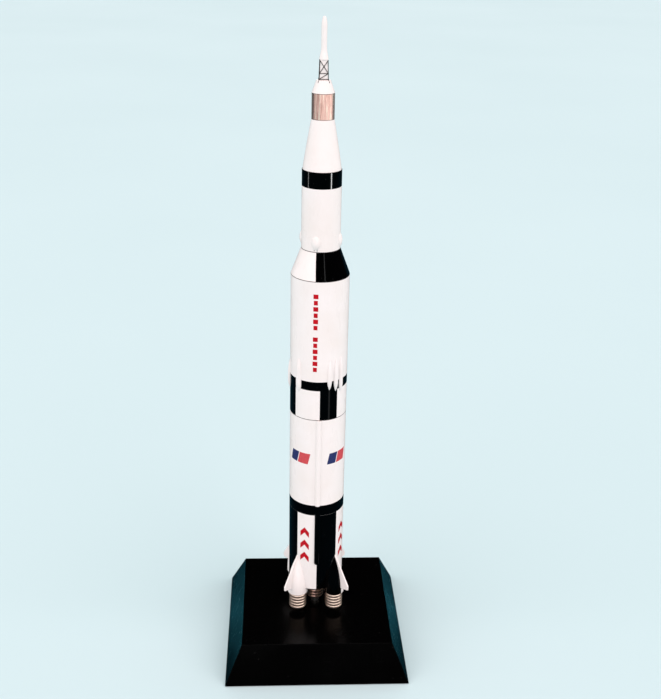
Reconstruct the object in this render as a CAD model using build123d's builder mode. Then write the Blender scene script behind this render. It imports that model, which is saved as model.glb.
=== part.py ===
from build123d import *
from math import cos, radians, sin, sqrt
import os

# A desk-display model of a three-stage moon rocket, 1/200 of the real vehicle, on a bevelled plinth.
# Millimetres, +Z up. The origin is on the surface the model stands on, under the middle of the
# plinth. The front of the model looks towards -Y. Heights named *_Z are measured from the origin.

# Radii of the turned bodies
LOWER_R = 25.15                 # first and second stages
UPPER_R = 16.57                 # third stage
ADAPTER_BASE_R = 16.1
ADAPTER_MID_R = 12.95           # the adapter swells slightly between its ends
SERVICE_R = 9.35
COMMAND_TOP_R = 5.8
MOTOR_R = 2.35
MOTOR_SKIRT_R = 3.7
MOTOR_SKIRT_LEAN = 0.12         # inwards per unit of height, at the skirt's foot
TIP_BREAK_R = 1.25

# Heights of the joints between pieces, from the table up
FELT_THICK = 0.8
PLINTH_TOP_Z = 35.0
NOZZLE_EXIT_Z = 40.8
FAIRING_BASE_Z = 57.4
TAIL_Z = 63.5
FIRST_TOP_Z = 240.75
AFT_RING_TOP_Z = 277.4
SECOND_TOP_Z = 368.7
CONE_TOP_Z = 391.65
THIRD_TOP_Z = 444.8
RING_TOP_Z = 458.5
ADAPTER_TOP_Z = 498.9
SERVICE_TOP_Z = 519.7
COMMAND_TOP_Z = 529.4
TOWER_TOP_Z = 545.3
MOTOR_SKIRT_TOP_Z = 554.5
MOTOR_TOP_Z = 570.6
TIP_BREAK_Z = 577.2             # where the nose cap's flank meets its rounded tip
TIP_Z = 577.9

# Fits
RUNNING_GAP = 0.06              # radial, a spigot or the peg in its socket
GLUE_GAP = 0.05                 # radial, a glued dowel in its hole
END_GAP = 0.5                   # past the end of a dowel or spigot
SEAM_CHAMFER = 0.25             # broken edge that leaves a fine groove at each seam
DOWEL_CHAMFER = 0.8
PIN_CHAMFER = 0.2

# Plinth, felt and peg
PLINTH_BASE_SIDE = 168.0
PLINTH_TOP_SIDE = 137.6
PLINTH_EDGE_R = 0.6
FELT_SIDE = 163.0
FELT_CORNER_R = 3.0
PEG_R = 4.0
PEG_FOOT_Z = 12.0
PEG_TOP_Z = 112.0
PEG_CLEARANCE_R = 4.4           # holes that the peg passes through without guiding it

# Spigots and dowels: radius, depth below the seam (glued), height above it
STAGE_SPIGOT = (10.0, 18.0, 18.0)
CONE_SPIGOT = (10.0, 18.0, 11.5)
THIRD_SPIGOT = (6.0, 9.0, 14.0)
RING_DOWEL = (7.0, 16.0, 24.0)
SHROUD_DOWEL_R = 5.0
SHROUD_DOWEL_FOOT_Z = 430.0
SHROUD_DOWEL_TOP_Z = 476.0
SPACECRAFT_DOWEL_R = 3.0
SPACECRAFT_DOWEL_FOOT_Z = 486.0
SPACECRAFT_DOWEL_TOP_Z = 524.0
TOWER_PIN_R = 1.0
TOWER_PIN_FOOT_Z = 523.0
TOWER_PIN_TOP_Z = 551.0

# Engines: four around one, all alike
ENGINE_CIRCLE_R = 24.2
QUARTERS = {"front_right": -45, "rear_right": 45, "rear_left": 135, "front_left": 225}
NOZZLE_R = 8.2
NOZZLE_GROOVE_R = 7.45
NOZZLE_LIP_R = 7.1
NOZZLE_THROAT_R = 4.9
NOZZLE_HOLLOW = 9.0
NECK_R = 6.0
HOOP_COUNT = 6
HOOP_PITCH = 3.05
TAIL_PLATE_R = 21.0
TAIL_PLATE_THICK = 3.0

# Engine fairings and fins
FAIRING_BASE_R = 9.4
FAIRING_SKIRT_Z = 60.0          # upright wall below this, an arc that leans in to the apex above it
FAIRING_APEX_Z = 97.0
FAIRING_LIP_R = 8.35            # recess for the nozzle's top hoop
FAIRING_LIP_DEEP = 1.9
FIN_THICK = 1.6
FIN_TOP_Z = 96.8
FIN_TIP_R = 42.0
FIN_TIP_TOP_Z = 69.0
FIN_TIP_FOOT_Z = 65.2
FIN_TAB = 1.6                   # how far the fin is let into the fairing at its foot
FIN_TAB_TOP_Z = 90.0            # where the edge of the hidden tab meets the body
FIN_EDGE_R = 0.45
FIN_OUTWARD_LEAN = 60           # a face of the fin looks outwards if it leans less than this

# Half-round cable conduits on the first stage, front and rear
CONDUITS = {"conduit_front": -90, "conduit_rear": 90}
CONDUIT_R = 2.5
CONDUIT_PROUD = 1.85
CONDUIT_FOOT_Z = 90.5

# Fairings over the second stage's feed lines: azimuth from +X, width, lower tip, upper tip
FEED_FAIRINGS = (
    (-180, 4.4, 261.0, 291.0),
    (-136, 6.0, 263.5, 301.0),
    (-70, 4.2, 269.0, 299.0),
    (-56, 4.2, 267.0, 300.0),
    (-43, 4.4, 264.5, 301.0),
    (44, 6.0, 263.5, 301.0),
    (110, 4.2, 269.0, 299.0),
)
FEED_PROUD = 1.9
FEED_NOSE = 9.0
FEED_TAIL = 15.0

# Control pods on the third stage
PODS = {"front": -107, "right": -17, "rear": 73, "left": 163}
POD_R = 4.5
POD_PROUD = 1.95
POD_MIDDLE_Z = 399.3
POD_HALF_HEIGHT = 7.4

# Service module sleeve and escape tower
SLEEVE_THICK = 0.6
TOWER_TOP_SIDE = 5.9
TOWER_BASE_SIDE = 6.85
WIRE_R = 0.24
WIRE_GAP = 0.03                 # between the wires and the tower that they run along
BEAD_R = 0.36
TOWER_RING_Z = (530.3, 534.8)   # the two square rings of wire
TOWER_CROSS_TOP_Z = 544.7       # the crossed braces end here, without a ring
LEG_FOOT_Z = 527.6
LEG_FOOT_SPREAD = 1.25          # how much further out the feet of the legs stand on the command module

os.makedirs("parts", exist_ok=True)


def finish(piece, label):
    """Name a finished piece and write it."""
    piece.part.label = label
    export_step(piece.part, f"parts/{label}.step")


def radial_plane(azimuth):
    """Upright plane through the rocket's axis: its x runs outwards, its y runs up."""
    c, s = cos(radians(azimuth)), sin(radians(azimuth))
    return Plane(origin=(0, 0, 0), x_dir=(c, s, 0), z_dir=(s, -c, 0))


def upright_axis(azimuth, distance):
    """Vertical axis at a distance from the rocket's axis."""
    point = (distance * cos(radians(azimuth)), distance * sin(radians(azimuth)), 0)
    return Axis(point, (0, 0, 1))


def from_below(z, x=0, y=0):
    """Plane that faces down, for holes drilled upwards."""
    return Plane(origin=(x, y, z), z_dir=(0, 0, -1))


def rod(radius, foot_z, top_z, chamfer_size=DOWEL_CHAMFER):
    """Upright round rod on the rocket's axis, with both ends broken."""
    with BuildPart() as dowel:
        with BuildSketch(Plane.XY.offset(foot_z)):
            Circle(radius)
        extrude(amount=top_z - foot_z)
        chamfer(dowel.faces().filter_by(Axis.Z).edges(), length=chamfer_size)
    return dowel


# ---------------------------------------------------------------- stand

with BuildPart() as base_felt:
    with BuildSketch():
        RectangleRounded(FELT_SIDE, FELT_SIDE, FELT_CORNER_R)
    extrude(amount=FELT_THICK)
finish(base_felt, "base_felt")

with BuildPart() as base_plinth:
    with BuildSketch(Plane.XY.offset(FELT_THICK)):
        Rectangle(PLINTH_BASE_SIDE, PLINTH_BASE_SIDE)
    with BuildSketch(Plane.XY.offset(PLINTH_TOP_Z)):
        Rectangle(PLINTH_TOP_SIDE, PLINTH_TOP_SIDE)
    loft()
    base_edges = edges().group_by(Axis.Z)[0]
    fillet(edges() - base_edges, radius=PLINTH_EDGE_R)
    with Locations((0, 0, PLINTH_TOP_Z)):
        Hole(PEG_R + RUNNING_GAP, depth=PLINTH_TOP_Z - PEG_FOOT_Z)
finish(base_plinth, "base_plinth")

finish(rod(PEG_R, PEG_FOOT_Z, PEG_TOP_Z), "support_peg")

# ---------------------------------------------------------------- first stage

spigot_r, spigot_down, spigot_up = STAGE_SPIGOT

with BuildPart() as first_stage_body:
    with BuildSketch(Plane.XY.offset(TAIL_Z)):
        Circle(LOWER_R)
    extrude(amount=FIRST_TOP_Z - TAIL_Z)
    chamfer(faces().sort_by(Axis.Z)[-1].edges(), length=SEAM_CHAMFER)
    with Locations(from_below(TAIL_Z)):
        CounterBoreHole(
            PEG_R + RUNNING_GAP,
            TAIL_PLATE_R + GLUE_GAP,
            TAIL_PLATE_THICK,
            PEG_TOP_Z - TAIL_Z,
        )
    with Locations((0, 0, FIRST_TOP_Z)):
        Hole(spigot_r + GLUE_GAP, depth=spigot_down)
finish(first_stage_body, "first_stage_body")

with BuildPart() as tail_plate:
    with BuildSketch(Plane.XY.offset(TAIL_Z)):
        Circle(TAIL_PLATE_R)
        Circle(PEG_CLEARANCE_R, mode=Mode.SUBTRACT)
    extrude(amount=TAIL_PLATE_THICK)
finish(tail_plate, "tail_plate")

finish(rod(spigot_r, FIRST_TOP_Z - spigot_down, FIRST_TOP_Z + spigot_up), "first_stage_spigot")


def nozzle(azimuth, distance):
    """Hooped engine nozzle on an upright axis at a distance from the rocket's axis."""
    hoops_top = NOZZLE_EXIT_Z + HOOP_COUNT * HOOP_PITCH
    with BuildPart() as hooped_nozzle:
        with BuildSketch(radial_plane(azimuth)):
            with BuildLine():
                for hoop in range(HOOP_COUNT):
                    low = NOZZLE_EXIT_Z + hoop * HOOP_PITCH
                    ThreePointArc(
                        (distance + NOZZLE_GROOVE_R, low),
                        (distance + NOZZLE_R, low + HOOP_PITCH / 2),
                        (distance + NOZZLE_GROOVE_R, low + HOOP_PITCH),
                    )
                Polyline(
                    (distance + NOZZLE_GROOVE_R, hoops_top),
                    (distance + NECK_R, hoops_top),
                    (distance + NECK_R, TAIL_Z),
                    (distance, TAIL_Z),
                    (distance, NOZZLE_EXIT_Z + NOZZLE_HOLLOW),
                    (distance + NOZZLE_THROAT_R, NOZZLE_EXIT_Z + NOZZLE_HOLLOW),
                    (distance + NOZZLE_LIP_R, NOZZLE_EXIT_Z),
                    (distance + NOZZLE_GROOVE_R, NOZZLE_EXIT_Z),
                )
            make_face()
        revolve(axis=upright_axis(azimuth, distance))
    return hooped_nozzle


with BuildPart() as engine_centre:
    add(nozzle(0, 0).part)
    with Locations(from_below(NOZZLE_EXIT_Z)):
        Hole(PEG_CLEARANCE_R)
finish(engine_centre, "engine_centre")

for side, azimuth in QUARTERS.items():
    engine_axis = upright_axis(azimuth, ENGINE_CIRCLE_R)
    outwards = radial_plane(azimuth).x_dir
    skirt_r = ENGINE_CIRCLE_R + FAIRING_BASE_R
    inside_r = LOWER_R - FIN_TAB
    fin_slope = (FIN_TOP_Z - FIN_TIP_TOP_Z) / (FIN_TIP_R - LOWER_R)

    finish(nozzle(azimuth, ENGINE_CIRCLE_R), f"engine_{side}")

    # The fin's blank runs on into the body, so that one cut seats it on the body's round surface
    with BuildPart() as fin_blank:
        with BuildSketch(radial_plane(azimuth)):
            with BuildLine():
                Polyline(
                    (inside_r, FIN_TOP_Z + FIN_TAB * fin_slope),
                    (FIN_TIP_R, FIN_TIP_TOP_Z),
                    (FIN_TIP_R, FIN_TIP_FOOT_Z),
                    (skirt_r - FIN_TAB, TAIL_Z),
                    (inside_r, FIN_TAB_TOP_Z),
                    close=True,
                )
            make_face()
        extrude(amount=FIN_THICK / 2, both=True)

    with BuildPart() as fin:
        add(fin_blank.part)
        with BuildSketch(Plane.XY.offset(TAIL_Z)):
            Circle(LOWER_R)
        extrude(amount=FIRST_TOP_Z - TAIL_Z, mode=Mode.SUBTRACT)
        outer_faces = faces().filter_by(
            lambda face: face.normal_at().get_angle(outwards) < FIN_OUTWARD_LEAN
        )
        long_edges = outer_faces.edges().filter_by(lambda edge: edge.length > 2 * FIN_THICK)
        fillet(long_edges, radius=FIN_EDGE_R)
    finish(fin, f"fin_{side}")

    with BuildPart() as engine_fairing:
        with BuildSketch(radial_plane(azimuth)):
            with BuildLine():
                TangentArc(
                    (skirt_r, FAIRING_SKIRT_Z),
                    (ENGINE_CIRCLE_R, FAIRING_APEX_Z),
                    tangent=(0, 1),
                )
                Polyline(
                    (ENGINE_CIRCLE_R, FAIRING_APEX_Z),
                    (ENGINE_CIRCLE_R, FAIRING_BASE_Z),
                    (skirt_r, FAIRING_BASE_Z),
                    (skirt_r, FAIRING_SKIRT_Z),
                )
            make_face()
        revolve(axis=engine_axis)
        with BuildSketch(Plane.XY.offset(TAIL_Z)):
            Circle(LOWER_R)
        extrude(amount=FAIRING_APEX_Z - TAIL_Z, mode=Mode.SUBTRACT)
        with Locations(from_below(FAIRING_BASE_Z, engine_axis.position.X, engine_axis.position.Y)):
            CounterBoreHole(
                NECK_R + GLUE_GAP,
                FAIRING_LIP_R,
                FAIRING_LIP_DEEP,
                TAIL_Z - FAIRING_BASE_Z,
            )
        add(fin_blank.part, mode=Mode.SUBTRACT)
    finish(engine_fairing, f"engine_fairing_{side}")

for label, azimuth in CONDUITS.items():
    centre = LOWER_R + CONDUIT_PROUD - CONDUIT_R
    with BuildPart() as conduit:
        with BuildSketch(radial_plane(azimuth)):
            with BuildLine():
                RadiusArc(
                    (centre, CONDUIT_FOOT_Z),
                    (centre + CONDUIT_R, CONDUIT_FOOT_Z + CONDUIT_R),
                    -CONDUIT_R,
                )
                Polyline(
                    (centre + CONDUIT_R, CONDUIT_FOOT_Z + CONDUIT_R),
                    (centre + CONDUIT_R, FIRST_TOP_Z - SEAM_CHAMFER),
                    (centre, FIRST_TOP_Z - SEAM_CHAMFER),
                    (centre, CONDUIT_FOOT_Z),
                )
            make_face()
        revolve(axis=upright_axis(azimuth, centre))
        with BuildSketch(Plane.XY.offset(TAIL_Z)):
            Circle(LOWER_R)
        extrude(amount=FIRST_TOP_Z - TAIL_Z, mode=Mode.SUBTRACT)
    finish(conduit, label)

# ---------------------------------------------------------------- second stage

dowel_r, dowel_down, dowel_up = RING_DOWEL
cone_spigot_r, cone_spigot_down, cone_spigot_up = CONE_SPIGOT

with BuildPart() as aft_interstage:
    with BuildSketch(Plane.XY.offset(FIRST_TOP_Z)):
        Circle(LOWER_R)
    extrude(amount=AFT_RING_TOP_Z - FIRST_TOP_Z)
    chamfer(faces().sort_by(Axis.Z)[0].edges(), length=SEAM_CHAMFER)
    with Locations(from_below(FIRST_TOP_Z)):
        Hole(spigot_r + RUNNING_GAP, depth=spigot_up + END_GAP)
    with Locations((0, 0, AFT_RING_TOP_Z)):
        Hole(dowel_r + GLUE_GAP, depth=dowel_down)
finish(aft_interstage, "aft_interstage")

with BuildPart() as second_stage_body:
    with BuildSketch(Plane.XY.offset(AFT_RING_TOP_Z)):
        Circle(LOWER_R)
    extrude(amount=SECOND_TOP_Z - AFT_RING_TOP_Z)
    chamfer(faces().sort_by(Axis.Z)[-1].edges(), length=SEAM_CHAMFER)
    with Locations(from_below(AFT_RING_TOP_Z)):
        Hole(dowel_r + GLUE_GAP, depth=dowel_up + END_GAP)
    with Locations((0, 0, SECOND_TOP_Z)):
        Hole(cone_spigot_r + GLUE_GAP, depth=cone_spigot_down)
finish(second_stage_body, "second_stage_body")

finish(rod(dowel_r, AFT_RING_TOP_Z - dowel_down, AFT_RING_TOP_Z + dowel_up), "second_stage_dowel")
finish(
    rod(cone_spigot_r, SECOND_TOP_Z - cone_spigot_down, SECOND_TOP_Z + cone_spigot_up),
    "second_stage_spigot",
)

for number, (azimuth, width, foot_z, tip_z) in enumerate(FEED_FAIRINGS, start=1):
    # The centre lies as deep as gives the fairing its width where it leaves the body
    centre = LOWER_R - (width ** 2 / 4 - FEED_PROUD ** 2) / (2 * FEED_PROUD)
    crest = LOWER_R + FEED_PROUD
    with BuildPart() as feed_fairing:
        with BuildSketch(radial_plane(azimuth)):
            with BuildLine():
                TangentArc((crest, foot_z + FEED_NOSE), (centre, foot_z), tangent=(0, -1))
                Line((crest, foot_z + FEED_NOSE), (crest, tip_z - FEED_TAIL))
                TangentArc((crest, tip_z - FEED_TAIL), (centre, tip_z), tangent=(0, 1))
                Line((centre, tip_z), (centre, foot_z))
            make_face()
        revolve(axis=upright_axis(azimuth, centre))
        with BuildSketch(Plane.XY.offset(FIRST_TOP_Z)):
            Circle(LOWER_R)
        extrude(amount=SECOND_TOP_Z - FIRST_TOP_Z, mode=Mode.SUBTRACT)
    finish(feed_fairing, f"feed_fairing_{number}")

# ---------------------------------------------------------------- forward interstage

third_spigot_r, third_spigot_down, third_spigot_up = THIRD_SPIGOT

with BuildPart() as interstage_cone:
    with BuildSketch(Plane.XZ):
        with BuildLine():
            Polyline(
                (0, SECOND_TOP_Z),
                (LOWER_R, SECOND_TOP_Z),
                (UPPER_R, CONE_TOP_Z),
                (0, CONE_TOP_Z),
                close=True,
            )
        make_face()
    revolve(axis=Axis.Z)
    chamfer(faces().filter_by(Axis.Z).edges(), length=SEAM_CHAMFER)
    with Locations(from_below(SECOND_TOP_Z)):
        Hole(cone_spigot_r + RUNNING_GAP, depth=cone_spigot_up + END_GAP)
    with Locations((0, 0, CONE_TOP_Z)):
        Hole(third_spigot_r + GLUE_GAP, depth=third_spigot_down)
finish(interstage_cone, "interstage_cone")

finish(
    rod(third_spigot_r, CONE_TOP_Z - third_spigot_down, CONE_TOP_Z + third_spigot_up),
    "interstage_spigot",
)

# ---------------------------------------------------------------- third stage

with BuildPart() as third_stage_body:
    with BuildSketch(Plane.XY.offset(CONE_TOP_Z)):
        Circle(UPPER_R)
    extrude(amount=THIRD_TOP_Z - CONE_TOP_Z)
    chamfer(faces().sort_by(Axis.Z)[0].edges(), length=SEAM_CHAMFER)
    with Locations(from_below(CONE_TOP_Z)):
        Hole(third_spigot_r + RUNNING_GAP, depth=third_spigot_up + END_GAP)
    with Locations((0, 0, THIRD_TOP_Z)):
        Hole(SHROUD_DOWEL_R + GLUE_GAP, depth=THIRD_TOP_Z - SHROUD_DOWEL_FOOT_Z)
finish(third_stage_body, "third_stage_body")

for side, azimuth in PODS.items():
    centre = UPPER_R + POD_PROUD - POD_R
    with BuildPart() as control_pod:
        with BuildSketch(radial_plane(azimuth)):
            with BuildLine():
                EllipticalCenterArc(
                    (centre, POD_MIDDLE_Z),
                    POD_R,
                    POD_HALF_HEIGHT,
                    start_angle=-90,
                    arc_size=180,
                )
                Line(
                    (centre, POD_MIDDLE_Z - POD_HALF_HEIGHT),
                    (centre, POD_MIDDLE_Z + POD_HALF_HEIGHT),
                )
            make_face()
        revolve(axis=upright_axis(azimuth, centre))
        with BuildSketch(Plane.XY.offset(CONE_TOP_Z)):
            Circle(UPPER_R)
        extrude(amount=THIRD_TOP_Z - CONE_TOP_Z, mode=Mode.SUBTRACT)
    finish(control_pod, f"control_pod_{side}")

with BuildPart() as instrument_ring:
    with BuildSketch(Plane.XY.offset(THIRD_TOP_Z)):
        Circle(UPPER_R)
        Circle(SHROUD_DOWEL_R + GLUE_GAP, mode=Mode.SUBTRACT)
    extrude(amount=RING_TOP_Z - THIRD_TOP_Z)
    chamfer(faces().sort_by(Axis.Z)[-1].outer_wire().edges(), length=SEAM_CHAMFER)
finish(instrument_ring, "instrument_ring")

finish(rod(SHROUD_DOWEL_R, SHROUD_DOWEL_FOOT_Z, SHROUD_DOWEL_TOP_Z), "shroud_dowel")

with BuildPart() as adapter_cone:
    with BuildSketch(Plane.XZ):
        with BuildLine():
            ThreePointArc(
                (ADAPTER_BASE_R, RING_TOP_Z),
                (ADAPTER_MID_R, (RING_TOP_Z + ADAPTER_TOP_Z) / 2),
                (SERVICE_R, ADAPTER_TOP_Z),
            )
            Polyline(
                (SERVICE_R, ADAPTER_TOP_Z),
                (0, ADAPTER_TOP_Z),
                (0, RING_TOP_Z),
                (ADAPTER_BASE_R, RING_TOP_Z),
            )
        make_face()
    revolve(axis=Axis.Z)
    with Locations(from_below(RING_TOP_Z)):
        Hole(SHROUD_DOWEL_R + GLUE_GAP, depth=SHROUD_DOWEL_TOP_Z - RING_TOP_Z + END_GAP)
    with Locations((0, 0, ADAPTER_TOP_Z)):
        Hole(SPACECRAFT_DOWEL_R + GLUE_GAP, depth=ADAPTER_TOP_Z - SPACECRAFT_DOWEL_FOOT_Z)
finish(adapter_cone, "adapter_cone")

# ---------------------------------------------------------------- spacecraft

with BuildPart() as service_core:
    with BuildSketch(Plane.XY.offset(ADAPTER_TOP_Z)):
        Circle(SERVICE_R - SLEEVE_THICK - GLUE_GAP)
        Circle(SPACECRAFT_DOWEL_R + GLUE_GAP, mode=Mode.SUBTRACT)
    extrude(amount=SERVICE_TOP_Z - ADAPTER_TOP_Z)
finish(service_core, "service_core")

with BuildPart() as service_sleeve:
    with BuildSketch(Plane.XY.offset(ADAPTER_TOP_Z)):
        Circle(SERVICE_R)
        Circle(SERVICE_R - SLEEVE_THICK, mode=Mode.SUBTRACT)
    extrude(amount=SERVICE_TOP_Z - ADAPTER_TOP_Z)
finish(service_sleeve, "service_sleeve")

with BuildPart() as spacecraft_dowel:
    add(rod(SPACECRAFT_DOWEL_R, SPACECRAFT_DOWEL_FOOT_Z, SPACECRAFT_DOWEL_TOP_Z).part)
    with Locations((0, 0, SPACECRAFT_DOWEL_TOP_Z)):
        Hole(TOWER_PIN_R + GLUE_GAP, depth=SPACECRAFT_DOWEL_TOP_Z - TOWER_PIN_FOOT_Z)
finish(spacecraft_dowel, "spacecraft_dowel")

with BuildPart() as command_module:
    with BuildSketch(Plane.XZ):
        with BuildLine():
            Polyline(
                (0, SERVICE_TOP_Z),
                (SERVICE_R, SERVICE_TOP_Z),
                (COMMAND_TOP_R, COMMAND_TOP_Z),
                (0, COMMAND_TOP_Z),
                close=True,
            )
        make_face()
    revolve(axis=Axis.Z)
    chamfer(faces().sort_by(Axis.Z)[-1].edges(), length=SEAM_CHAMFER)
    with Locations(from_below(SERVICE_TOP_Z)):
        Hole(SPACECRAFT_DOWEL_R + GLUE_GAP, depth=SPACECRAFT_DOWEL_TOP_Z - SERVICE_TOP_Z)
    with Locations((0, 0, COMMAND_TOP_Z)):
        Hole(TOWER_PIN_R + GLUE_GAP)
finish(command_module, "command_module")

with BuildPart() as escape_tower:
    with BuildSketch(Plane.XY.offset(COMMAND_TOP_Z)):
        Rectangle(TOWER_BASE_SIDE, TOWER_BASE_SIDE)
    with BuildSketch(Plane.XY.offset(TOWER_TOP_Z)):
        Rectangle(TOWER_TOP_SIDE, TOWER_TOP_SIDE)
    loft()
    with Locations((0, 0, TOWER_TOP_Z)):
        Hole(TOWER_PIN_R + GLUE_GAP)
finish(escape_tower, "escape_tower")

finish(rod(TOWER_PIN_R, TOWER_PIN_FOOT_Z, TOWER_PIN_TOP_Z, PIN_CHAMFER), "tower_pin")


def tower_corner(turn, z):
    """Centre of the wire on one corner of the tower, at a height."""
    rise = (z - COMMAND_TOP_Z) / (TOWER_TOP_Z - COMMAND_TOP_Z)
    side = TOWER_BASE_SIDE + (TOWER_TOP_SIDE - TOWER_BASE_SIDE) * rise
    reach = (side / 2 + WIRE_GAP + WIRE_R) * sqrt(2)
    if z == LEG_FOOT_Z:
        reach += LEG_FOOT_SPREAD
    angle = radians(45 + 90 * turn)
    return Vector(reach * cos(angle), reach * sin(angle), z)


lower_ring, upper_ring = TOWER_RING_Z
# Wires of one side, as steps (corner, height) to (corner, height): leg, post, rings and braces
SIDE_WIRES = (
    ((0, LEG_FOOT_Z), (0, lower_ring)),
    ((0, lower_ring), (0, TOWER_CROSS_TOP_Z)),
    ((0, lower_ring), (1, lower_ring)),
    ((0, upper_ring), (1, upper_ring)),
    ((0, upper_ring), (1, TOWER_CROSS_TOP_Z)),
    ((1, upper_ring), (0, TOWER_CROSS_TOP_Z)),
    ((0, lower_ring), (1, upper_ring)),
)

with BuildPart() as tower_lattice:
    for turn in range(4):
        for (from_corner, from_z), (to_corner, to_z) in SIDE_WIRES:
            start = tower_corner(turn + from_corner, from_z)
            end = tower_corner(turn + to_corner, to_z)
            with BuildSketch(Plane(origin=start, z_dir=end - start)):
                Circle(WIRE_R)
            extrude(amount=(end - start).length)
        with Locations([tower_corner(turn, joint_z) for joint_z in (*TOWER_RING_Z, TOWER_CROSS_TOP_Z)]):
            Sphere(BEAD_R)
    add(command_module.part, mode=Mode.SUBTRACT)
finish(tower_lattice, "tower_lattice")

with BuildPart() as escape_motor:
    with BuildSketch(Plane.XZ):
        with BuildLine():
            Spline(
                (MOTOR_SKIRT_R, TOWER_TOP_Z),
                (MOTOR_R, MOTOR_SKIRT_TOP_Z),
                tangents=((-MOTOR_SKIRT_LEAN, 1), (0, 1)),
            )
            Polyline(
                (MOTOR_R, MOTOR_SKIRT_TOP_Z),
                (MOTOR_R, MOTOR_TOP_Z),
                (0, MOTOR_TOP_Z),
                (0, TOWER_TOP_Z),
                (MOTOR_SKIRT_R, TOWER_TOP_Z),
            )
        make_face()
    revolve(axis=Axis.Z)
    with Locations(from_below(TOWER_TOP_Z)):
        Hole(TOWER_PIN_R + GLUE_GAP, depth=TOWER_PIN_TOP_Z - TOWER_TOP_Z)
finish(escape_motor, "escape_motor")

with BuildPart() as nose_cap:
    with BuildSketch(Plane.XZ):
        with BuildLine():
            TangentArc((MOTOR_R, MOTOR_TOP_Z), (TIP_BREAK_R, TIP_BREAK_Z), tangent=(0, 1))
            TangentArc((0, TIP_Z), (TIP_BREAK_R, TIP_BREAK_Z), tangent=(1, 0))
            Polyline((0, TIP_Z), (0, MOTOR_TOP_Z), (MOTOR_R, MOTOR_TOP_Z))
        make_face()
    revolve(axis=Axis.Z)
finish(nose_cap, "nose_cap")
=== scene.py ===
import math

import bmesh
import bpy
from mathutils import Matrix, Vector, noise


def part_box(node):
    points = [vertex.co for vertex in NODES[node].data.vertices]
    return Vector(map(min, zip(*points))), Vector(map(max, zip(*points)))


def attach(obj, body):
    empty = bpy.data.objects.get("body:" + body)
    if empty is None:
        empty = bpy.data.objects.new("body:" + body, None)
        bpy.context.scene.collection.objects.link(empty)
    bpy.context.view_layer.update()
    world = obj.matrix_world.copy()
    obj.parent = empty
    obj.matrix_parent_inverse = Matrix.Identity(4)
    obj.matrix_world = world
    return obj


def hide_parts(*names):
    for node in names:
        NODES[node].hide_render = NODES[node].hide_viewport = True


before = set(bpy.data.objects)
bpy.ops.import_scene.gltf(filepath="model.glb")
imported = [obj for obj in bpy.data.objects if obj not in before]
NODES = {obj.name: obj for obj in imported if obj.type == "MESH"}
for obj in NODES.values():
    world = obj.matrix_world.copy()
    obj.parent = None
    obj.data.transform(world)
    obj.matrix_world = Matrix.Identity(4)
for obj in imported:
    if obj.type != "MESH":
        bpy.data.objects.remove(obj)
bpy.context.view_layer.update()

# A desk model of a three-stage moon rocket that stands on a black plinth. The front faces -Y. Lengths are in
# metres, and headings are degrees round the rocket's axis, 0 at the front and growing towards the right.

MM = 0.001


def span(node):
    """The lowest and highest z of a node."""
    low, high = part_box(node)
    return low[2], high[2]


def wide(node):
    """The largest radius of a turned node."""
    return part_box(node)[1][0]


FIRST_STAGE_TOP = span("first_stage_body")[1]
SECOND_STAGE_TOP = span("second_stage_body")[1]
CONE_TOP = span("interstage_cone")[1]
NOZZLE_EXIT = span("engine_centre")[0]
SLEEVE_BOTTOM, SLEEVE_TOP = span("service_sleeve")
LOWER_RADIUS = wide("second_stage_body")
UPPER_RADIUS = wide("instrument_ring")

# Nozzle hoops, counted up from the exit
HOOPS = 6
HOOP_PITCH = 3.05 * MM

# Paint scheme: where black starts and ends
PAINT_EDGE = 0.1 * MM
BLACK_RING_LOW = 143.9 * MM
BLACK_RING_HIGH = 154.3 * MM
PANEL_WIDTH = 45.0
AFT_BAND_LOW = 269.0 * MM
AFT_PANELS = [(1.0, 38.7), (91.0, 128.7), (178.0, 216.0), (265.0, 306.0)]
CONE_SPLIT_LOW = -11.0
CONE_SPLIT_HIGH = -15.5

# Paints and inks
WHITE = (0.87, 0.835, 0.82, 1)
WHITE_AGED = (0.84, 0.795, 0.765, 1)
WHITE_WORN = (0.46, 0.40, 0.33, 1)
BLACK = (0.0004, 0.0004, 0.00045, 1)
BLACK_WORN = (0.014, 0.013, 0.012, 1)
BLACK_DUST = (0.10, 0.10, 0.10, 1)
PLINTH_WORN = (0.035, 0.03, 0.026, 1)
PLINTH_DUST = (0.12, 0.12, 0.115, 1)
# Painted shade in the parting lines between the stages
SEAM_SHADE = (0.02, 0.018, 0.016, 1)
RED, RED_DEEP = (0.54, 0.003, 0.012, 1), (0.42, 0.002, 0.010, 1)
CORAL, CORAL_DEEP = (0.64, 0.085, 0.095, 1), (0.52, 0.06, 0.075, 1)
NAVY, NAVY_DEEP = (0.032, 0.044, 0.15, 1), (0.022, 0.030, 0.11, 1)
INK, INK_PALE = (0.03, 0.02, 0.02, 1), (0.05, 0.035, 0.03, 1)
FILM_CHIP = (0.75, 0.72, 0.69, 1)

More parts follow.
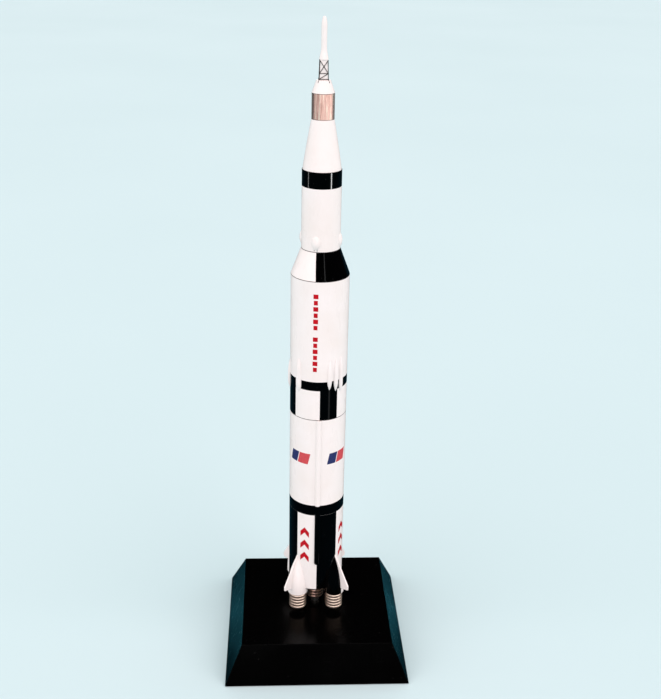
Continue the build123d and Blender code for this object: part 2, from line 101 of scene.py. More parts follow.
# Metals, wood, wire and felt
CHAMPAGNE = (0.84, 0.66, 0.55, 1)
CHAMPAGNE_BRIGHT = (0.92, 0.78, 0.68, 1)
CHAMPAGNE_DULL = (0.62, 0.49, 0.42, 1)
# Painted shade between the nozzle hoops
HOOP_GROOVE_SHADE = (0.035, 0.012, 0.011, 1)
FOIL_ROSE = (0.62, 0.38, 0.33, 1)
FOIL_PINK = (0.86, 0.60, 0.53, 1)
FOIL_CREAM = (0.90, 0.83, 0.71, 1)
FOIL_STREAK = (0.46, 0.29, 0.25, 1)
FOIL_EDGE = (0.22, 0.16, 0.15, 1)
PEG_STEEL = (0.66, 0.65, 0.64, 1)
PIN_STEEL = (0.72, 0.70, 0.66, 1)
STEEL_STAIN = (0.40, 0.36, 0.33, 1)
WOOD_PALE = (0.62, 0.42, 0.24, 1)
WOOD_DARK = (0.47, 0.29, 0.15, 1)
WOOD_CREAM = (0.70, 0.51, 0.32, 1)
WOOD_PORE = (0.22, 0.12, 0.06, 1)
WIRE, WIRE_WORN = (0.012, 0.008, 0.007, 1), (0.05, 0.032, 0.024, 1)
FELT, FELT_PALE = (0.008, 0.010, 0.009, 1), (0.035, 0.042, 0.038, 1)
FELT_LINT = (0.09, 0.10, 0.095, 1)

# The room: its light on the model, how much of it shows in gloss, and what the camera sees of it
ROOM = (0.98, 0.935, 0.93, 1)
ROOM_STRENGTH = 0.70
ROOM_MIRRORED = 0.01
BACKDROP = (1.04, 1.24, 1.29, 1)
FLOOR = (0.50, 0.66, 0.685, 1)
FLOOR_CLOUD = (0.515, 0.675, 0.70, 1)
FLOOR_MIRRORED = (0.0, 0.026, 0.042, 1)
FLOOR_RADIUS = 60.0

# Colours of the lights
NEUTRAL = (1.0, 1.0, 1.0)
KEY_ROSE = (1.0, 0.80, 0.80)
FILL_ROSE = (1.0, 0.82, 0.83)
RIM_TEAL = (0.45, 1.0, 1.0)
PANEL_CREAM = (1.0, 0.92, 0.88)
PANEL_TEAL = (0.75, 1.0, 1.0)
INNER_ROSE = (1.0, 0.68, 0.66)
FLOOR_TEAL = (0.12, 0.78, 1.0)

CAMERA_PLACE = Vector((-0.03706, -0.84873, 0.65595))
CAMERA_TURN = math.radians(3.18)
CAMERA_DOWN = math.radians(22.85)
CAMERA_ROLL = math.radians(1.24)
CAMERA_LENS = 54.14


class Shader:
    """One material's node tree. Its calls add nodes and return output sockets."""

    def __init__(self, name):
        self.material = bpy.data.materials.new(name)
        self.material.use_nodes = True
        self.tree = self.material.node_tree
        self.surface = self.tree.nodes["Principled BSDF"]
        self.place = self.node("ShaderNodeTexCoord").outputs["Object"]
        axes = self.node("ShaderNodeSeparateXYZ", {"Vector": self.place}).outputs
        self.x, self.y, self.z = axes

    def node(self, kind, inputs=(), **settings):
        """Adds a node with those inputs and those settings of its own."""
        made = self.tree.nodes.new(kind)
        for name, value in settings.items():
            setattr(made, name, value)
        for key, value in dict(inputs).items():
            self.feed(made.inputs[key], value)
        return made

    def feed(self, socket, value):
        """Links a socket to an output, or sets it to a plain value."""
        if isinstance(value, bpy.types.NodeSocket):
            self.tree.links.new(value, socket)
        else:
            socket.default_value = value

    def set(self, **values):
        """Sets the shader's own sockets by name; base_color stands for Base Color."""
        for key, value in values.items():
            socket = key.replace("_", " ").title().replace("Ior", "IOR")
            self.feed(self.surface.inputs[socket], value)

    def math(self, operation, a, b=0.0, c=0.0):
        return self.node("ShaderNodeMath", {0: a, 1: b, 2: c}, operation=operation).outputs[0]

    def spread(self, value, low, high, to_low=0.0, to_high=1.0):
        """Value stretched from low..high to to_low..to_high, and held there."""
        inputs = {"Value": value, "From Min": low, "From Max": high, "To Min": to_low, "To Max": to_high}
        return self.node("ShaderNodeMapRange", inputs).outputs["Result"]

    def step(self, value, edge, soft):
        """0 below the edge and 1 above it, over a width of soft."""
        return self.spread(value, edge - soft / 2, edge + soft / 2)

    def opposite(self, mask):
        return self.math("SUBTRACT", 1.0, mask)

    def band(self, value, low, high, soft):
        """1 between low and high."""
        above = self.step(value, low, soft)
        under = self.opposite(self.step(value, high, soft))
        return self.math("MINIMUM", above, under)

    def mix(self, factor, a, b):
        return self.node("ShaderNodeMix", {0: factor, 6: a, 7: b}, data_type="RGBA").outputs[2]

    def blend_number(self, factor, a, b):
        return self.node("ShaderNodeMix", {0: factor, 2: a, 3: b}, data_type="FLOAT").outputs[0]

    def noise(self, scale, detail=2.0, stretch=None, place=None):
        """Soft noise, finer along an axis where stretch is large."""
        vector = self.place if place is None else place
        if stretch is not None:
            inputs = {0: vector, 1: stretch}
            vector = self.node("ShaderNodeVectorMath", inputs, operation="MULTIPLY").outputs[0]
        inputs = {"Vector": vector, "Scale": scale, "Detail": detail}
        return self.node("ShaderNodeTexNoise", inputs).outputs[0]

    def specks(self, scale, size, share):
        """Small round dots in a share of the cells of a grid of that scale."""
        cells = self.node("ShaderNodeTexVoronoi", {"Vector": self.place, "Scale": scale})
        near = self.math("LESS_THAN", cells.outputs["Distance"], size)
        lot = self.node("ShaderNodeSeparateColor", {0: cells.outputs["Color"]}).outputs[0]
        return self.math("MULTIPLY", near, self.math("LESS_THAN", lot, share))

    def heading(self):
        """Degrees round the rocket's axis, 0 at the front and growing to the right."""
        back = self.math("MULTIPLY", self.y, -1.0)
        turn = self.math("ARCTAN2", self.x, back)
        return self.math("MULTIPLY", turn, 180 / math.pi)

    def sector(self, heading, start, end, soft=0.12, period=360.0):
        """1 between two headings, repeated every period."""
        middle, half = (start + end) / 2, (end - start) / 2
        off = self.math("SUBTRACT", heading, middle)
        off = self.math("WRAP", off, period / 2, -period / 2)
        away = self.math("ABSOLUTE", off)
        return self.opposite(self.step(away, half, soft))

    def edges(self, radius, sharp=0.9):
        """1 on outer edges, from how far rounding them would turn the surface."""
        rounded = self.node("ShaderNodeBevel", {"Radius": radius}, samples=6).outputs[0]
        flat = self.node("ShaderNodeNewGeometry").outputs["Normal"]
        inputs = {0: rounded, 1: flat}
        same = self.node("ShaderNodeVectorMath", inputs, operation="DOT_PRODUCT").outputs["Value"]
        return self.spread(same, 1.0, sharp)

    def bump(self, height, distance, strength=1.0, under=None):
        """A normal bent by the height, on top of the normal given as under."""
        inputs = {"Height": height, "Distance": distance, "Strength": strength}
        if under is not None:
            inputs["Normal"] = under
        return self.node("ShaderNodeBump", inputs).outputs[0]


def wobbly_height(s):
    """Height with the slight wander of a masked paint edge."""
    wander = s.spread(s.noise(260, 3), 0.3, 0.7, -0.06 * MM, 0.06 * MM)
    return s.math("ADD", s.z, wander)


def every_other_panel(s):
    return s.sector(s.heading(), 0.0, PANEL_WIDTH, period=2 * PANEL_WIDTH)


def first_stage_black(s):
    height = wobbly_height(s)
    below_ring = s.opposite(s.step(height, BLACK_RING_LOW, PAINT_EDGE))
    ring = s.band(height, BLACK_RING_LOW, BLACK_RING_HIGH, PAINT_EDGE)
    return s.math("MAXIMUM", s.math("MULTIPLY", every_other_panel(s), below_ring), ring)


def conduit_black(s):
    return s.opposite(s.step(wobbly_height(s), BLACK_RING_HIGH, PAINT_EDGE))


def aft_black(s):
    heading = s.heading()
    black = s.step(wobbly_height(s), AFT_BAND_LOW, PAINT_EDGE)
    for start, end in AFT_PANELS:
        black = s.math("MAXIMUM", black, s.sector(heading, start, end))
    return black


def cone_black(s):
    """Half of the cone, split along a line that leans as it rises."""
    lean = s.spread(s.z, SECOND_STAGE_TOP, CONE_TOP, 0.0, CONE_SPLIT_LOW - CONE_SPLIT_HIGH)
    heading = s.math("ADD", s.heading(), lean)
    return s.sector(heading, CONE_SPLIT_LOW, CONE_SPLIT_LOW + 180)


def no_black(s):
    return 0.0


def all_black(s):
    return 1.0


def seam_shadow(s):
    """Painted shade along the parting lines between the stages, not on the faces that meet there."""
    half_line = 0.28 * MM
    reach_in, reach_out = 0.45 * MM, 0.1 * MM
    square = s.math("MULTIPLY_ADD", s.x, s.x, s.math("MULTIPLY", s.y, s.y))
    reach = s.math("SQRT", square)
    painted_shade = 0.0
    seams = ((FIRST_STAGE_TOP, LOWER_RADIUS), (SECOND_STAGE_TOP, LOWER_RADIUS), (CONE_TOP, UPPER_RADIUS))
    for seam, radius in seams:
        line = s.band(s.z, seam - half_line, seam + half_line, 0.12 * MM)
        outside = s.band(reach, radius - reach_in, radius + reach_out, 0.1 * MM)
        painted_shade = s.math("MAXIMUM", painted_shade, s.math("MULTIPLY", line, outside))
    return s.math("MULTIPLY", painted_shade, s.spread(s.noise(600, 2), 0.25, 0.6, 0.75, 1.0))


def lacquer(name, black_where):
    """Sprayed gloss lacquer over turned wood, white or black by the mask."""
    s = Shader(name)
    black = black_where(s)
    cloud = s.spread(s.noise(38, 4), 0.35, 0.7)
    white = s.mix(cloud, WHITE, WHITE_AGED)
    worn = s.math("MULTIPLY", s.edges(0.35 * MM, 0.8), s.spread(s.noise(900, 3), 0.5, 0.62))
    white = s.mix(s.math("MULTIPLY", worn, 0.35), white, WHITE_WORN)
    dark = s.mix(worn, BLACK, BLACK_WORN)
    dust = s.math("MULTIPLY", s.specks(420, 0.09, 0.12), 0.35)
    dark = s.mix(dust, dark, BLACK_DUST)
    colour = s.mix(black, white, dark)
    # Painted shade darkens the parting lines between the stages
    colour = s.mix(seam_shadow(s), colour, SEAM_SHADE)
    haze = s.spread(s.noise(130, 5, stretch=(1, 1, 0.35)), 0.3, 0.75)
    white_rough = s.spread(haze, 0, 1, 0.24, 0.38)
    rough = s.blend_number(black, white_rough, s.spread(haze, 0, 1, 0.06, 0.12))
    peel = s.bump(s.noise(700, 2), 0.02 * MM, 0.35)
    ridge = s.bump(black, 0.03 * MM, 0.5, under=peel)
    s.set(base_color=colour, roughness=rough, normal=ridge, specular_ior_level=0.2)
    s.set(coat_weight=0.1, coat_roughness=0.08)
    return s.material


def plinth_lacquer():
    """Deep black gloss lacquer on the plinth, with dust, rubs and fine scratches."""
    s = Shader("plinth_gloss")
    rub = s.spread(s.noise(24, 5), 0.42, 0.72)
    scratch = s.spread(s.noise(60, 2, stretch=(1, 40, 1)), 0.66, 0.70)
    cross = s.spread(s.noise(70, 2, stretch=(38, 1.4, 1)), 0.68, 0.72)
    marks = s.math("MAXIMUM", scratch, cross)
    worn = s.math("MULTIPLY", s.edges(0.9 * MM, 0.85), s.spread(s.noise(420, 4), 0.47, 0.62))
    colour = s.mix(s.math("MULTIPLY", worn, 0.25), BLACK, PLINTH_WORN)
    dust = s.math("MULTIPLY", s.specks(260, 0.07, 0.2), 0.30)
    colour = s.mix(dust, colour, PLINTH_DUST)
    rough = s.spread(rub, 0, 1, 0.20, 0.29)
    rough = s.math("ADD", rough, s.math("MULTIPLY", marks, 0.05))
    peel = s.bump(s.noise(420, 2), 0.02 * MM, 0.3)
    s.set(base_color=colour, roughness=rough, normal=peel, specular_ior_level=0.08)
    return s.material


def engine_metal():
    """Champagne metal paint on the hooped nozzles, with painted shade between the hoops."""
    s = Shader("engine_paint")
    up = s.math("SUBTRACT", s.z, NOZZLE_EXIT)
    turn = s.math("FRACT", s.math("DIVIDE", up, HOOP_PITCH))
    from_crest = s.math("ABSOLUTE", s.math("SUBTRACT", turn, 0.5))
    # Painted shade in the hollows between the hoops
    groove_shade = s.spread(from_crest, 0.33, 0.45)
    groove_shade = s.math("MULTIPLY", groove_shade, s.spread(s.noise(500, 2), 0.2, 0.7, 0.7, 1.0))
    on_hoops = s.opposite(s.step(s.z, NOZZLE_EXIT + HOOPS * HOOP_PITCH, 0.4 * MM))
    groove_shade = s.math("MULTIPLY", groove_shade, on_hoops)
    fleck = s.noise(2600, 2)
    metal = s.mix(s.spread(fleck, 0.35, 0.65), CHAMPAGNE, CHAMPAGNE_BRIGHT)
    metal = s.mix(s.spread(s.noise(90, 3), 0.5, 0.8), metal, CHAMPAGNE_DULL)
    colour = s.mix(groove_shade, metal, HOOP_GROOVE_SHADE)
    rough = s.blend_number(groove_shade, s.spread(fleck, 0.3, 0.7, 0.30, 0.40), 0.8)
    grain = s.bump(fleck, 0.01 * MM, 0.5)
    s.set(base_color=colour, roughness=rough, normal=grain, metallic=1.0)
    return s.material


def sleeve_metal():
    """Brushed metal foil round the service module, streaked up and down."""
    s = Shader("service_foil")
    heading = s.math("MULTIPLY", s.heading(), 0.02)
    lift = s.math("MULTIPLY", s.z, 6.0)
    around = s.node("ShaderNodeCombineXYZ", {0: heading, 1: lift, 2: 0.0}).outputs[0]
    broad = s.noise(3.4, 2, place=around)
    fine = s.noise(26, 3, place=around)
    metal = s.mix(s.spread(broad, 0.40, 0.47), FOIL_ROSE, FOIL_PINK)
    metal = s.mix(s.spread(broad, 0.52, 0.59), metal, FOIL_CREAM)
    metal = s.mix(s.spread(fine, 0.46, 0.66, 0.0, 0.6), metal, FOIL_STREAK)
    edge = 0.45 * MM
    inner = s.band(s.z, SLEEVE_BOTTOM + edge, SLEEVE_TOP - edge, 0.3 * MM)
    colour = s.mix(inner, FOIL_EDGE, metal)
    rough = s.spread(fine, 0.3, 0.7, 0.24, 0.40)
    s.set(base_color=colour, roughness=rough, normal=s.bump(fine, 0.02 * MM, 0.6), metallic=0.9)
    return s.material


def turned_steel(name, colour):
    """Bright steel with the fine rings that a lathe leaves."""
    s = Shader(name)
    rings = s.noise(900, 2, stretch=(0.02, 0.02, 4.0))
    stain = s.spread(s.noise(160, 4), 0.5, 0.75)
    tint = s.mix(stain, colour, STEEL_STAIN)
    s.set(base_color=tint, roughness=s.spread(rings, 0.3, 0.7, 0.20, 0.36), metallic=1.0)
    s.set(normal=s.bump(rings, 0.01 * MM, 0.5))
    return s.material


def bare_wood():
    """Pale close-grained dowel wood, grain running up the rocket's axis."""
    s = Shader("dowel_wood")
    bent = s.noise(30, 3, stretch=(1, 1, 0.12))
    rings = s.noise(420, 3, stretch=(1, 1, 0.03))
    pores = s.spread(s.noise(1500, 2, stretch=(1, 1, 0.06)), 0.60, 0.68)
    wood = s.mix(s.spread(rings, 0.35, 0.65), WOOD_PALE, WOOD_DARK)
    wood = s.mix(s.spread(bent, 0.4, 0.7, 0.0, 0.5), wood, WOOD_CREAM)
    open_pores = s.math("MULTIPLY", pores, 0.6)
    wood = s.mix(open_pores, wood, WOOD_PORE)
    height = s.math("SUBTRACT", rings, open_pores)
    s.set(base_color=wood, roughness=s.spread(rings, 0.3, 0.7, 0.50, 0.68))
    s.set(normal=s.bump(height, 0.06 * MM, 0.6))
    return s.material


def lattice_paint():
    """Black-brown enamel on the thin wires."""
    s = Shader("wire_enamel")
    patch = s.spread(s.noise(800, 3), 0.45, 0.7)
    s.set(base_color=s.mix(patch, WIRE, WIRE_WORN), roughness=s.spread(patch, 0, 1, 0.32, 0.55))
    s.set(normal=s.bump(s.noise(3500, 2), 0.01 * MM, 0.5))
    return s.material


def felt_cloth():
    """Pressed wool felt: short matted fibres, no weave."""
    s = Shader("pressed_felt")
    fibres = s.noise(1400, 6)
    lint = s.spread(s.noise(300, 5), 0.55, 0.75)
    colour = s.mix(s.spread(fibres, 0.3, 0.7), FELT, FELT_PALE)
    colour = s.mix(s.math("MULTIPLY", lint, 0.4), colour, FELT_LINT)
    s.set(base_color=colour, roughness=s.spread(lint, 0, 1, 0.88, 0.97))
    s.set(sheen_weight=0.6, sheen_roughness=0.4)
    s.set(normal=s.bump(fibres, 0.25 * MM, 0.9))
    return s.material


def film_ink(name, ink, second_tone):
    """Printed decal film: flat ink, faint dots of the print and tiny chips."""
    s = Shader(name)
    tone = s.spread(s.noise(500, 4), 0.35, 0.7)
    chip = s.math("MULTIPLY", s.specks(900, 0.12, 0.05), 0.5)
    colour = s.mix(chip, s.mix(tone, ink, second_tone), FILM_CHIP)
    s.set(base_color=colour, roughness=s.spread(tone, 0, 1, 0.26, 0.36), specular_ior_level=0.2)
    s.set(normal=s.bump(s.noise(1200, 2), 0.01 * MM, 0.4))
    return s.material


def dress(material, *names):
    """Puts a material on the CAD nodes of those names."""
    for name in names:
        for slot in NODES[name].material_slots:
            slot.material = material


def dress_cad():
    """Gives every CAD node its finish."""
    white = lacquer("white_gloss", no_black)
    dress(white, *[n for n in NODES if n.startswith(("fin_", "feed_fairing_", "control_pod_"))])
    dress(white, "second_stage_body", "third_stage_body", "adapter_cone", "command_module")
    dress(white, "escape_tower", "escape_motor", "nose_cap", "engine_fairing_front_left")
    dress(lacquer("first_stage_gloss", first_stage_black), "first_stage_body")
    dress(lacquer("conduit_gloss", conduit_black), "conduit_front", "conduit_rear")
    split = lacquer("fairing_gloss", every_other_panel)
    dress(split, *[f"engine_fairing_{side}" for side in ("front_right", "rear_left", "rear_right")])
    dress(lacquer("aft_gloss", aft_black), "aft_interstage")
    dress(lacquer("cone_gloss", cone_black), "interstage_cone")
    dress(lacquer("black_gloss", all_black), "instrument_ring", "tail_plate")
    dress(plinth_lacquer(), "base_plinth")
    dress(engine_metal(), *[n for n in NODES if n.startswith("engine_") and "fairing" not in n])
    dress(sleeve_metal(), "service_sleeve")
    dress(turned_steel("peg_steel_bright", PEG_STEEL), "support_peg")
    dress(turned_steel("pin_steel_bright", PIN_STEEL), "tower_pin")
    dress(lattice_paint(), "tower_lattice")
    dress(bare_wood(), *[n for n in NODES if n.endswith(("_spigot", "_dowel"))], "service_core")


def new_object(name, fill, material):
    """Makes a mesh object from what fill adds to an empty bmesh."""
    form = bmesh.new()
    fill(form)
    mesh = bpy.data.meshes.new(name)
    form.to_mesh(mesh)
    form.free()
    mesh.materials.append(material)
    made = bpy.data.objects.new(name, mesh)
    bpy.context.scene.collection.objects.link(made)
    return made


def closed_patch(form, place, columns, rows, inner, outer):
    """A thin closed shell over a grid. place(s, t, depth) gives a point for s and t from 0 to 1."""
    def sheet_of(depth):
        return [[form.verts.new(place(i / columns, j / rows, depth)) for i in range(columns + 1)]
                for j in range(rows + 1)]

    back, front = sheet_of(inner), sheet_of(outer)
    for j in range(rows):
        for i in range(columns):
            for grid in (back, front):
                form.faces.new((grid[j][i], grid[j][i + 1], grid[j + 1][i + 1], grid[j + 1][i]))
    rim = [(0, i) for i in range(columns)] + [(j, columns) for j in range(rows)]
    rim += [(rows, i) for i in range(columns, 0, -1)] + [(j, 0) for j in range(rows, 0, -1)]
    for here, there in zip(rim, rim[1:] + rim[:1]):
        a, b = back[here[0]][here[1]], back[there[0]][there[1]]
        c, d = front[there[0]][there[1]], front[here[0]][here[1]]
        form.faces.new((a, b, c, d))
    bmesh.ops.recalc_face_normals(form, faces=form.faces)


def film(name, shapes, radius, material, body):
    """Decal film wrapped on a cylinder. Each shape maps s, t to degrees of heading and height."""
    columns, rows = 24, 6
    inner, outer = 0.005 * MM, 0.04 * MM

    def fill(form):
        for shape in shapes:
            def place(s, t, depth, shape=shape):
                heading, height = shape(s, t)
                turn = math.radians(heading)
                reach = radius + depth
                return reach * math.sin(turn), -reach * math.cos(turn), height
            closed_patch(form, place, columns, rows, inner, outer)

    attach(new_object(name, fill, material), body)


def arc_degrees(length, radius):
    """How many degrees of heading a length takes up on a cylinder."""
    return math.degrees(length / radius)


def bar(middle, low, width, height, radius, slant=0.0):
    """A bar of that width and height, its top pushed over by slant."""
    def shape(s, t):
        across = (s - 0.5) * width + (t - 0.5) * slant
        return middle + arc_degrees(across, radius), low + t * height
    return shape


def chevron(middle, low, width, stripe, point):
    """An upward-pointing chevron: a stripe bent up to a point in its middle."""
    def shape(s, t):
        across = (s - 0.5) * width
        fall = 2 * abs(s - 0.5) * point
        return middle + arc_degrees(across, LOWER_RADIUS), low + point - fall + t * stripe
    return shape


def add_bars(ink):
    """Two groups of small bars down the second stage, broad and narrow in turn."""
    middle, column_low = -10.0, 287.2 * MM
    height, pitch = 4.0 * MM, 5.6 * MM
    in_group, group_gap = 6, 5.0 * MM
    widths = (3.4 * MM, 4.2 * MM)
    bars = []
    for i in range(2 * in_group):
        low = column_low + pitch * i + group_gap * (i // in_group)
        bars.append(bar(middle, low, widths[i % 2], height, LOWER_RADIUS))
    film("second_stage_bars", bars, LOWER_RADIUS, ink, "second_stage")


def add_chevrons(ink):
    """Three chevrons on each of two white panels of the tail."""
    bottom, pitch = 93.0 * MM, 13.2 * MM
    width, stripe, point = 8.8 * MM, 5.4 * MM, 5.0 * MM
    for side, middle in (("left", -27.0), ("right", 64.0)):
        stack = [chevron(middle, bottom + i * pitch, width, stripe, point) for i in range(3)]
        film(f"tail_chevrons_{side}", stack, LOWER_RADIUS, ink, "first_stage")


def add_decals(blue_ink, red_ink):
    """A slanted block of two colours on either side of the first stage."""
    low, height, slant = 196.2 * MM, 10.6 * MM, 2.4 * MM
    blue_width, red_width, gap = 8.6 * MM, 10.6 * MM, 0.8 * MM
    for side, start in (("left", -67.5), ("right", 18.0)):
        blue_middle = start + arc_degrees(blue_width / 2 + slant / 2, LOWER_RADIUS)
        red_middle = blue_middle + arc_degrees(blue_width / 2 + gap + red_width / 2, LOWER_RADIUS)
        blue = bar(blue_middle, low, blue_width, height, LOWER_RADIUS, slant)
        red = bar(red_middle, low, red_width, height, LOWER_RADIUS, slant)
        film(f"decal_blue_{side}", [blue], LOWER_RADIUS, blue_ink, "first_stage")
        film(f"decal_red_{side}", [red], LOWER_RADIUS, red_ink, "first_stage")


def add_ticks(ink):
    """Two small upright marks at the foot of the third stage."""
    middle, low = -17.0, CONE_TOP + 0.9 * MM
    width, height, apart = 0.45 * MM, 1.5 * MM, 2.6 * MM
    ticks = [bar(middle + arc_degrees(off, UPPER_RADIUS), low, width, height, UPPER_RADIUS)
             for off in (-apart / 2, apart / 2)]
    film("third_stage_ticks", ticks, UPPER_RADIUS, ink, "third_stage")


def add_films():
    """Plain marks that keep the place and colour of the model's printed ones, and say nothing."""
    red = film_ink("red_film", RED, RED_DEEP)
    coral = film_ink("coral_film", CORAL, CORAL_DEEP)
    navy = film_ink("navy_film", NAVY, NAVY_DEEP)
    ink = film_ink("dark_film", INK, INK_PALE)
    add_bars(red)
    add_chevrons(red)
    add_decals(navy, coral)
    add_ticks(ink)


def add_felt():
    """The felt under the plinth: a cut sheet with a slightly furry face and edge."""
    low, high = (Vector(corner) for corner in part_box("base_felt"))
    half = (high.x - low.x) / 2
    thick = high.z - low.z
    corner = 3.0 * MM
    cells = 120
    fur_size, fur_length, trim = 1.1 * MM, 0.06 * MM, 0.02 * MM

    def rounded(s, t):
        """A square grid pulled in at its corners."""
        x, y = (2 * s - 1) * half, (2 * t - 1) * half
        in_x, in_y = abs(x) - (half - corner), abs(y) - (half - corner)
        if in_x > 0 and in_y > 0:
            reach = math.hypot(in_x, in_y)
            pull = max(in_x, in_y) / reach
            x = math.copysign(half - corner + in_x * pull, x)
            y = math.copysign(half - corner + in_y * pull, y)
        return x, y

    def place(s, t, depth):
        x, y = rounded(s, t)
        fur = abs(noise.noise(Vector((x, y, depth)) / fur_size) * fur_length)
        at_edge = max(abs(x), abs(y)) > half - corner
        inset = 1 - (fur + trim) / half if at_edge else 1
        z = low.z + depth + (fur * 0.8 if depth < thick / 2 else 0)
        return x * inset, y * inset, z

    def fill(form):
        closed_patch(form, place, cells, cells, 0.0, thick)

    felt = new_object("felt_pad", fill, felt_cloth())
    felt.data.shade_smooth()
    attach(felt, "stand")
    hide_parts("base_felt")


def add_floor():
    """A plain pale floor that is darker and more teal in reflections."""
    s = Shader("studio_floor")
    cloud = s.spread(s.noise(0.8, 3), 0.35, 0.65)
    paper = s.mix(cloud, FLOOR, FLOOR_CLOUD)
    path = s.node("ShaderNodeLightPath").outputs["Is Glossy Ray"]
    s.set(base_color=s.mix(path, paper, FLOOR_MIRRORED), roughness=0.9, specular_ior_level=0.1)
    s.set(normal=s.bump(s.noise(900, 2), 0.1 * MM, 0.2))

    def fill(form):
        bmesh.ops.create_circle(form, cap_ends=True, radius=FLOOR_RADIUS, segments=96)

    new_object("floor", fill, s.material)


def add_world():
    """Pale surroundings that light the model, and are dim in its reflections."""
    world = bpy.data.worlds.new("studio")
    world.use_nodes = True
    tree = world.node_tree
    background = tree.nodes["Background"]
    path = tree.nodes.new("ShaderNodeLightPath")
    tint = tree.nodes.new("ShaderNodeMix")
    tint.data_type = "RGBA"
    tint.inputs[6].default_value = ROOM
    tint.inputs[7].default_value = BACKDROP
    dim = tree.nodes.new("ShaderNodeMath")
    dim.operation = "MULTIPLY_ADD"
    dim.inputs[1].default_value = ROOM_MIRRORED - ROOM_STRENGTH
    dim.inputs[2].default_value = ROOM_STRENGTH
    tree.links.new(path.outputs["Is Camera Ray"], tint.inputs[0])
    tree.links.new(path.outputs["Is Glossy Ray"], dim.inputs[0])
    tree.links.new(tint.outputs[2], background.inputs["Color"])
    tree.links.new(dim.outputs[0], background.inputs["Strength"])
    bpy.context.scene.world = world


def toward(heading, elevation=0.0):
    """The unit vector from the rocket towards that heading and elevation."""
    turn, lift = math.radians(heading), math.radians(elevation)
    return Vector((math.sin(turn) * math.cos(lift), -math.cos(turn) * math.cos(lift), math.sin(lift)))


def new_lamp(name, kind, energy, colour, facing):
    """A lamp that shines in the direction of facing."""
    light = bpy.data.lights.new(name, kind)
    light.energy = energy
    light.color = colour
    lamp = bpy.data.objects.new(name, light)
    lamp.rotation_mode = "QUATERNION"
    lamp.rotation_quaternion = facing.to_track_quat("-Z", "Y")
    bpy.context.scene.collection.objects.link(lamp)
    return lamp


def sun(name, heading, elevation, strength, spread, colour):
    """A far, wide light: it lights the floor evenly and throws only a faint shadow."""
    lamp = new_lamp(name, "SUN", strength, colour, -toward(heading, elevation))
    lamp.data.angle = math.radians(spread)
    lamp.visible_glossy = False


def panel(name, place, facing, size, watts, colour, nodes):
    """A rectangle of light that the named nodes reflect. It lights nothing and no other piece shows it."""
    lamp = new_lamp(name, "AREA", watts, colour, facing)
    lamp.location = place
    lamp.data.shape = "RECTANGLE"
    lamp.data.size, lamp.data.size_y = size
    lamp.visible_camera = False
    lamp.visible_diffuse = False
    group = bpy.data.collections.new(f"{name}_receivers")
    for node in nodes:
        group.objects.link(NODES[node])
    lamp.light_linking.receiver_collection = group
    return lamp


def glint(name, heading, distance, height, size, watts, nodes, colour=NEUTRAL, elevation=0.0):
    """A panel that faces the point of that height on the rocket's axis."""
    target = Vector((0, 0, height))
    place = toward(heading, elevation) * distance + target
    panel(name, place, target - place, size, watts, colour, nodes)


def add_suns():
    sun("key", heading=52, elevation=42, strength=1.72, spread=50, colour=KEY_ROSE)
    sun("fill", heading=-54, elevation=38, strength=1.42, spread=56, colour=FILL_ROSE)
    sun("back", heading=165, elevation=55, strength=0.45, spread=50, colour=NEUTRAL)
    sun("rim_left", heading=-112, elevation=15, strength=0.22, spread=40, colour=RIM_TEAL)
    sun("rim_right", heading=112, elevation=15, strength=0.22, spread=40, colour=RIM_TEAL)


def add_lacquer_glints():
    """Thin upright lines of gloss on the black paint, and a faint one down the rocket's back."""
    ring = {"distance": 1.0, "height": 0.205, "nodes": ["instrument_ring"]}
    glint("glint_ring_right", heading=53.5, size=(0.09, 0.30), watts=3.0, **ring)
    glint("glint_ring_left", heading=-84.7, size=(0.06, 0.30), watts=0.5, **ring)
    painted = ["first_stage_body", "conduit_front", "aft_interstage"]
    lower = {"distance": 0.4, "height": 0.075, "nodes": painted}
    glint("glint_aft", heading=41.5, size=(0.04, 0.10), watts=0.010, **lower)
    cone = {"distance": 1.3, "height": 0.38, "elevation": 22.6, "nodes": ["interstage_cone"]}
    glint("glint_cone", heading=17, size=(0.06, 0.5), watts=0.18, **cone)
    rocket = {"distance": 1.0, "height": 0.40, "nodes": [name for name in NODES if name != "base_plinth"]}
    glint("glint_behind", heading=178, size=(0.10, 0.5), watts=1.0, **rocket)


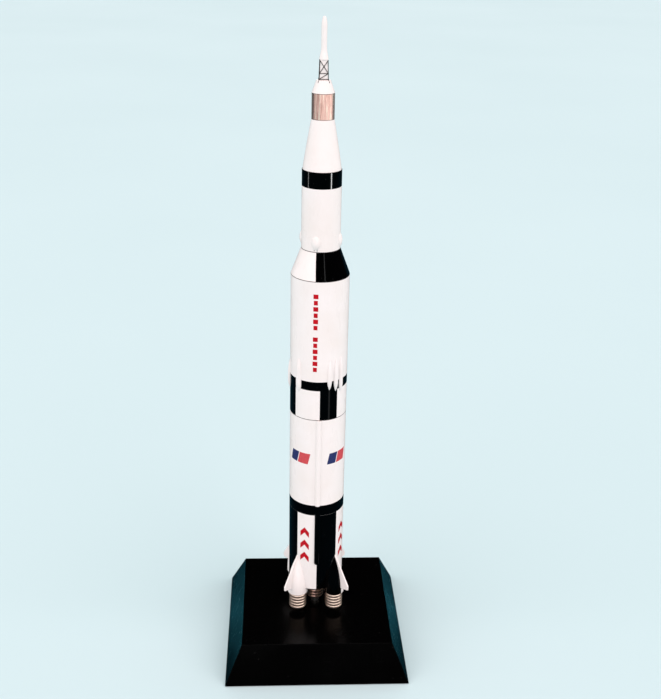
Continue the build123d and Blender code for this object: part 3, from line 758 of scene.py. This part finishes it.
def add_plinth_panels():
    """A soft sheen on the plinth's top and front, and the floor's teal in its sides."""
    plinth = {"distance": 1.5, "height": 0.0, "elevation": 28, "nodes": ["base_plinth"]}
    for heading in (-62, 0, 62):
        glint(f"plinth_panel_{heading}", heading, size=(0.9, 0.35), watts=3.0, **plinth)

    # The teal panel lies under the floor and faces up, and the floor doesn't block it
    under_floor, up = Vector((0, 1.05, -0.02)), Vector((0, 0, 1))
    glow = panel("floor_glow", under_floor, up, (2.0, 2.0), 150.0, FLOOR_TEAL, ["base_plinth"])
    glow.light_linking.blocker_collection = glow.light_linking.receiver_collection


def add_metal_panels():
    """Broad panels that the bright metal needs around it, and a low glow on the middle engine."""
    outer_engines = [name for name in NODES if name.startswith(("engine_front", "engine_rear"))]
    metals = (("engine", outer_engines, 1.5), ("foil", ["service_sleeve", "support_peg"], 1.0))
    for name, nodes, gain in metals:
        metal = {"distance": 1.1, "height": 0.70, "nodes": nodes}
        for heading, watts in ((-68, 4.8), (0, 8.0), (68, 9.0)):
            glint(
                f"{name}_panel_{heading}", heading, size=(1.5, 1.4), watts=watts * gain,
                colour=PANEL_CREAM, **metal
            )
        glint(f"{name}_panel_behind", heading=178, size=(2.2, 1.4), watts=2.2, colour=PANEL_TEAL, **metal)
    centre = {"distance": 1.1, "height": 0.45, "nodes": ["engine_centre"]}
    glint("inner_engine_glow", heading=-14, size=(0.5, 0.7), watts=2.0, colour=INNER_ROSE, **centre)


def add_lights():
    add_suns()
    add_lacquer_glints()
    add_plinth_panels()
    add_metal_panels()


def add_camera():
    """Looks down on the model from the front, turned a little to the right and rolled."""
    ahead = Vector((math.sin(CAMERA_TURN), math.cos(CAMERA_TURN), 0))
    forward = ahead * math.cos(CAMERA_DOWN) - Vector((0, 0, math.sin(CAMERA_DOWN)))
    level = Vector((math.cos(CAMERA_TURN), -math.sin(CAMERA_TURN), 0))
    upright = level.cross(forward)
    right = level * math.cos(CAMERA_ROLL) + upright * math.sin(CAMERA_ROLL)
    up = upright * math.cos(CAMERA_ROLL) - level * math.sin(CAMERA_ROLL)
    lens = bpy.data.cameras.new("camera")
    lens.lens = CAMERA_LENS
    lens.clip_start, lens.clip_end = 0.01, 200
    camera = bpy.data.objects.new("camera", lens)
    axes = Matrix((right, up, -forward)).transposed()
    camera.matrix_world = Matrix.Translation(CAMERA_PLACE) @ axes.to_4x4()
    bpy.context.scene.collection.objects.link(camera)
    bpy.context.scene.camera = camera


bpy.context.scene.view_settings.view_transform = "Standard"
add_camera()
add_world()
add_lights()
add_floor()
dress_cad()
add_films()
add_felt()
